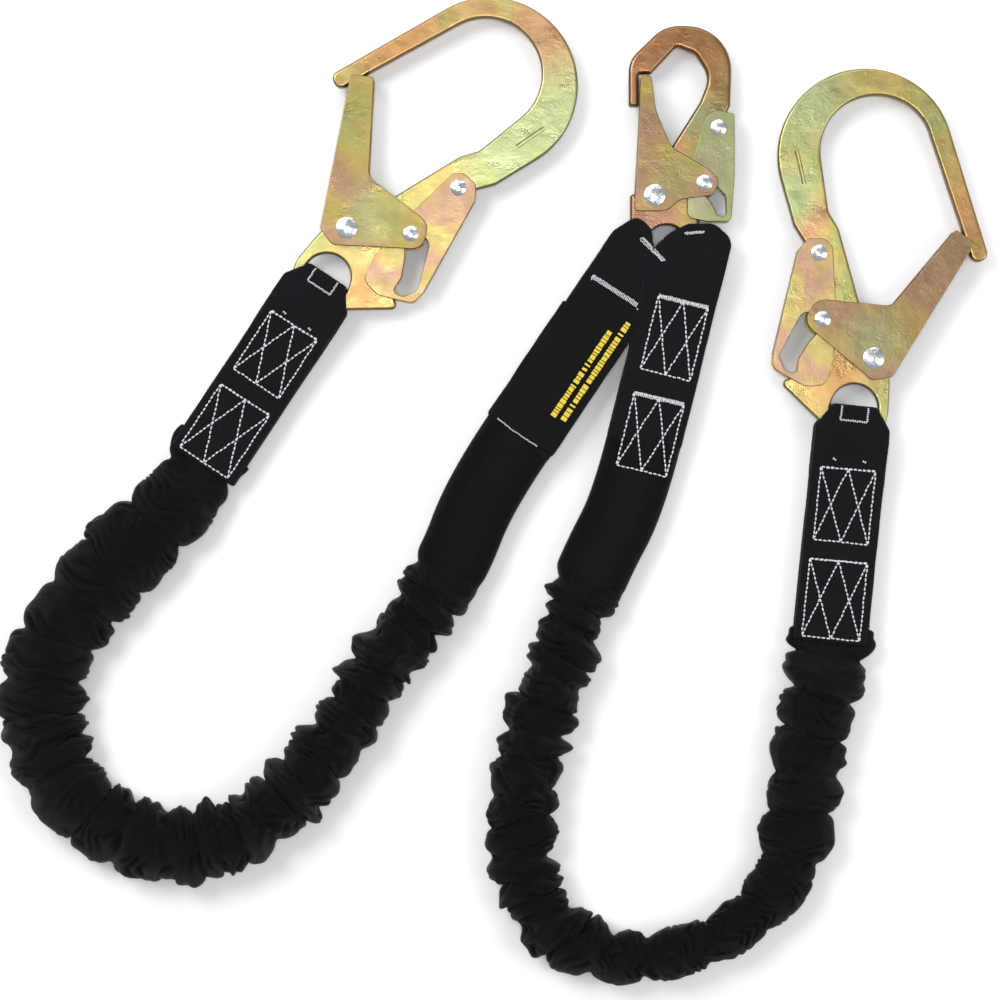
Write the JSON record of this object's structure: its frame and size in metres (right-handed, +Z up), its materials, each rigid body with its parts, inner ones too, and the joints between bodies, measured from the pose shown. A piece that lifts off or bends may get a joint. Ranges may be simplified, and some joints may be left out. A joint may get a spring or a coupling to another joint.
{
  "type": "shock absorbing lanyard",
  "caption": "Shock absorbing lanyard: gathered elastic legs from a locking harness snap hook to scaffold hooks with double-action gates.",
  "frame": {"origin": "on the surface the lanyard lies on, under the middle of the box round its hooks", "axes": "+Z up from that surface; +X from the left leg's hook towards the right leg's hook; +Y from the legs' bends towards the hooks"},
  "size_m": [0.5966, 0.6047, 0.028],
  "materials": {
    "plated_forging": "satin",
    "plated_sheet": "satin",
    "bright_rivet": "polished",
    "spring_wire": "satin",
    "jacket_fabric": "matte",
    "webbing": "matte",
    "label_cloth": "matte",
    "core_webbing": "matte",
    "elastic": "matte"
  },
  "bodies": {
    "lanyard": {"right_hook_body": "plated_forging", "right_hook_gate_rivet": "bright_rivet", "right_hook_lever_rivet": "bright_rivet", "left_hook_body": "plated_forging", "left_hook_gate_rivet": "bright_rivet", "left_hook_lever_rivet": "bright_rivet", "harness_hook_body": "plated_forging", "harness_hook_gate_rivet": "bright_rivet", "harness_hook_lever_rivet": "bright_rivet", "left_leg_harness_loop": "webbing", "right_leg_harness_loop": "webbing", "left_leg_hook_loop": "webbing", "right_leg_hook_loop": "webbing", "label_sleeve": "label_cloth", "left_leg_jacket": "jacket_fabric", "left_leg_shock_core": "core_webbing", "left_leg_elastic_band": "elastic", "right_leg_jacket": "jacket_fabric", "right_leg_shock_core": "core_webbing", "right_leg_elastic_band": "elastic"},
    "right_hook_gate_group": {"right_hook_gate": "plated_sheet", "right_hook_catch_rivet": "bright_rivet", "right_hook_gate_spring": "spring_wire"},
    "right_hook_lever_group": {"right_hook_lever": "plated_sheet", "right_hook_lever_spring": "spring_wire"},
    "left_hook_gate_group": {"left_hook_gate": "plated_sheet", "left_hook_catch_rivet": "bright_rivet", "left_hook_gate_spring": "spring_wire"},
    "left_hook_lever_group": {"left_hook_lever": "plated_sheet", "left_hook_lever_spring": "spring_wire"},
    "harness_hook_gate_group": {"harness_hook_gate": "plated_sheet", "harness_hook_catch_rivet": "bright_rivet", "harness_hook_gate_spring": "spring_wire"},
    "harness_hook_lever_group": {"harness_hook_lever": "plated_sheet", "harness_hook_lever_spring": "spring_wire"}
  },
  "joints": [
    {"name": "right_hook_gate_hinge", "type": "hinge", "parent": "lanyard", "child": "right_hook_gate_group", "pos_m": [0.1413, -0.0858, 0.0099], "axis": [0, 0, 1], "range_deg": [0, 43], "stiffness_Nm_per_rad": 0.15, "springref_deg": -40.11},
    {"name": "right_hook_lever_hinge", "type": "hinge", "parent": "lanyard", "child": "right_hook_lever_group", "pos_m": [0.1087, -0.022, 0.0099], "axis": [0, 0, 1], "range_deg": [0, 11], "stiffness_Nm_per_rad": 0.1, "springref_deg": -17.19},
    {"name": "left_hook_gate_hinge", "type": "hinge", "parent": "lanyard", "child": "left_hook_gate_group", "pos_m": [-0.17653, -0.00706, 0.0099], "axis": [0, 0, -1], "range_deg": [0, 43], "stiffness_Nm_per_rad": 0.15, "springref_deg": -40.11},
    {"name": "left_hook_lever_hinge", "type": "hinge", "parent": "lanyard", "child": "left_hook_lever_group", "pos_m": [-0.10917, 0.01736, 0.0099], "axis": [0, 0, -1], "range_deg": [0, 11], "stiffness_Nm_per_rad": 0.1, "springref_deg": -17.19},
    {"name": "harness_hook_gate_hinge", "type": "hinge", "parent": "lanyard", "child": "harness_hook_gate_group", "pos_m": [0.0093, 0.0126, 0.0099], "axis": [0, 0, -1], "range_deg": [0, 22], "stiffness_Nm_per_rad": 0.15, "springref_deg": -40.11},
    {"name": "harness_hook_lever_hinge", "type": "hinge", "parent": "lanyard", "child": "harness_hook_lever_group", "pos_m": [0.0481, 0.0537, 0.0099], "axis": [0, 0, -1], "range_deg": [0, 10], "stiffness_Nm_per_rad": 0.1, "springref_deg": -17.19}
  ],
  "couplings": [
    {"joint": "right_hook_lever_hinge", "follows": "right_hook_gate_hinge", "ratio": 0.25581},
    {"joint": "left_hook_lever_hinge", "follows": "left_hook_gate_hinge", "ratio": 0.25581},
    {"joint": "harness_hook_lever_hinge", "follows": "harness_hook_gate_hinge", "ratio": 0.45454}
  ]
}
